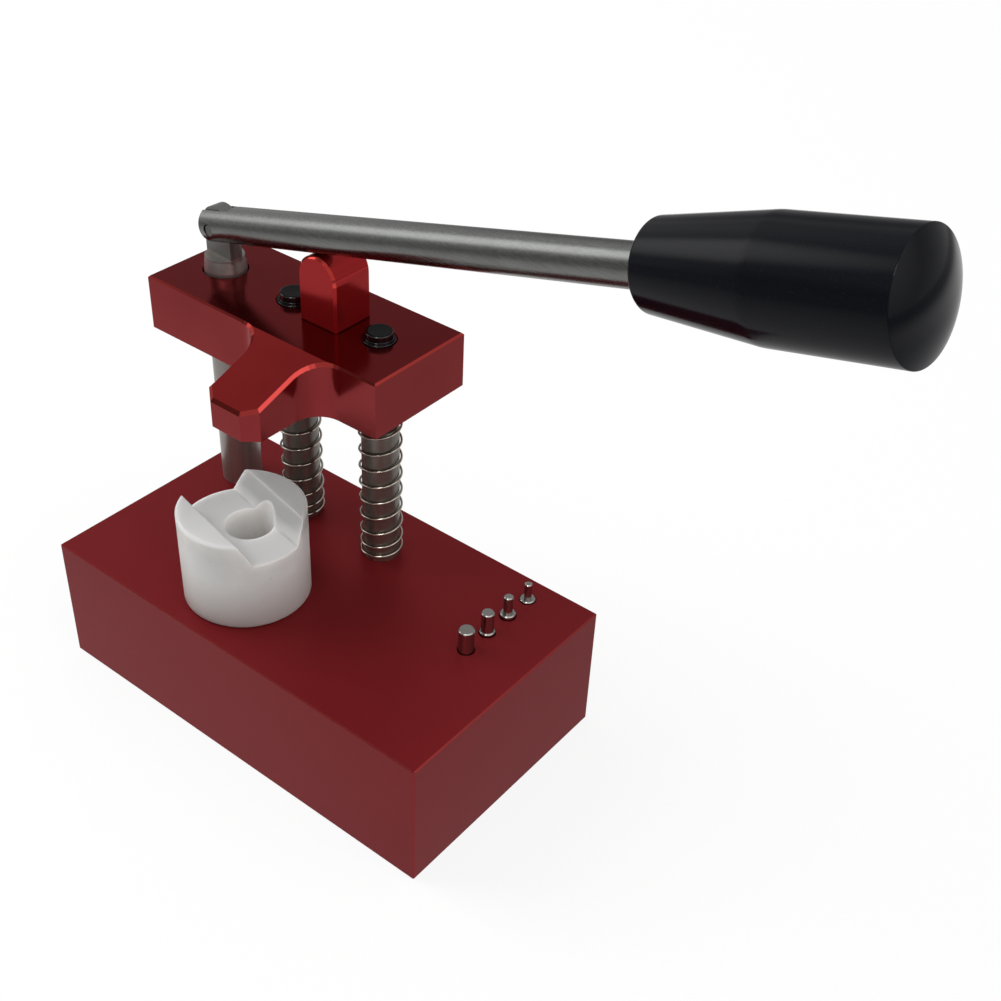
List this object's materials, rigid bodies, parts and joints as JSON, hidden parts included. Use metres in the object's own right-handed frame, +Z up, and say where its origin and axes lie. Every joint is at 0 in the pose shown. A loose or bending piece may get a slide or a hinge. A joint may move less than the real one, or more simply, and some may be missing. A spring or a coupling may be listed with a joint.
{
  "type": "watch crown tube remover",
  "caption": "Hand lever press with a red sprung press plate and nose over a grooved white case holder, which pushes crown tubes out of watch cases with loose ejector pins kept in its block.",
  "frame": {"origin": "centre of the base block's underside", "axes": "+Z up; +X along the base block's long side, towards the handle; -Y to the front, where the nose points"},
  "size_m": [0.1635, 0.0576, 0.1468],
  "materials": {
    "red_base": "satin red anodised",
    "red_plate": "smooth red anodised with bright bevels",
    "red_block": "polished red anodised",
    "guide_steel": "ground steel",
    "lever_steel": "brushed stainless steel",
    "pin_steel": "turned steel",
    "spring_wire": "bright drawn spring wire",
    "screw_steel": "black oxide",
    "black_caps": "glossy black oxide",
    "insert_brass": "turned",
    "black_handle": "polished black",
    "white_nylon": "turned, slightly translucent"
  },
  "bodies": {
    "base": {"base_block": "red_base", "guide_post_left": "guide_steel", "guide_post_right": "guide_steel", "guide_cap_left": "black_caps", "guide_cap_right": "black_caps", "lever_post": "lever_steel", "post_screws": "screw_steel", "spring_left": "spring_wire", "spring_right": "spring_wire"},
    "press": {"press_plate": "red_plate", "fulcrum_block": "red_block", "block_screw": "screw_steel"},
    "lever": {"lever_rod": "lever_steel", "pivot_pin": "pin_steel", "handle": "black_handle", "handle_insert": "insert_brass"},
    "holder": {"case_holder": "white_nylon"},
    "pin_1": {"ejector_pin_1": "pin_steel"},
    "pin_2": {"ejector_pin_2": "pin_steel"},
    "pin_3": {"ejector_pin_3": "pin_steel"},
    "pin_4": {"ejector_pin_4": "pin_steel"}
  },
  "joints": [
    {"name": "press_slide", "type": "slide", "parent": "base", "child": "press", "axis": [0, 0, 1], "range_m": [-0.008, 0], "stiffness_N_per_m": 210, "springref_m": 0.018, "deforming": ["spring_left", "spring_right"]},
    {"name": "lever_press", "type": "hinge", "parent": "base", "child": "lever", "pos_m": [-0.0402, 0.015, 0.0926], "axis": [-0.0785, -0.9969, 0], "range_deg": [-15.1, 0]},
    {"name": "holder_lift", "type": "slide", "parent": "base", "child": "holder", "axis": [0, 0, 1], "range_m": [0, 0.011]},
    {"name": "pin_1_lift", "type": "slide", "parent": "base", "child": "pin_1", "axis": [0, 0, 1], "range_m": [0, 0.02]},
    {"name": "pin_2_lift", "type": "slide", "parent": "base", "child": "pin_2", "axis": [0, 0, 1], "range_m": [0, 0.02]},
    {"name": "pin_3_lift", "type": "slide", "parent": "base", "child": "pin_3", "axis": [0, 0, 1], "range_m": [0, 0.02]},
    {"name": "pin_4_lift", "type": "slide", "parent": "base", "child": "pin_4", "axis": [0, 0, 1], "range_m": [0, 0.02]}
  ],
  "couplings": [
    {"joint": "lever_press", "follows": "press_slide", "rad_per_m": 32.7}
  ]
}
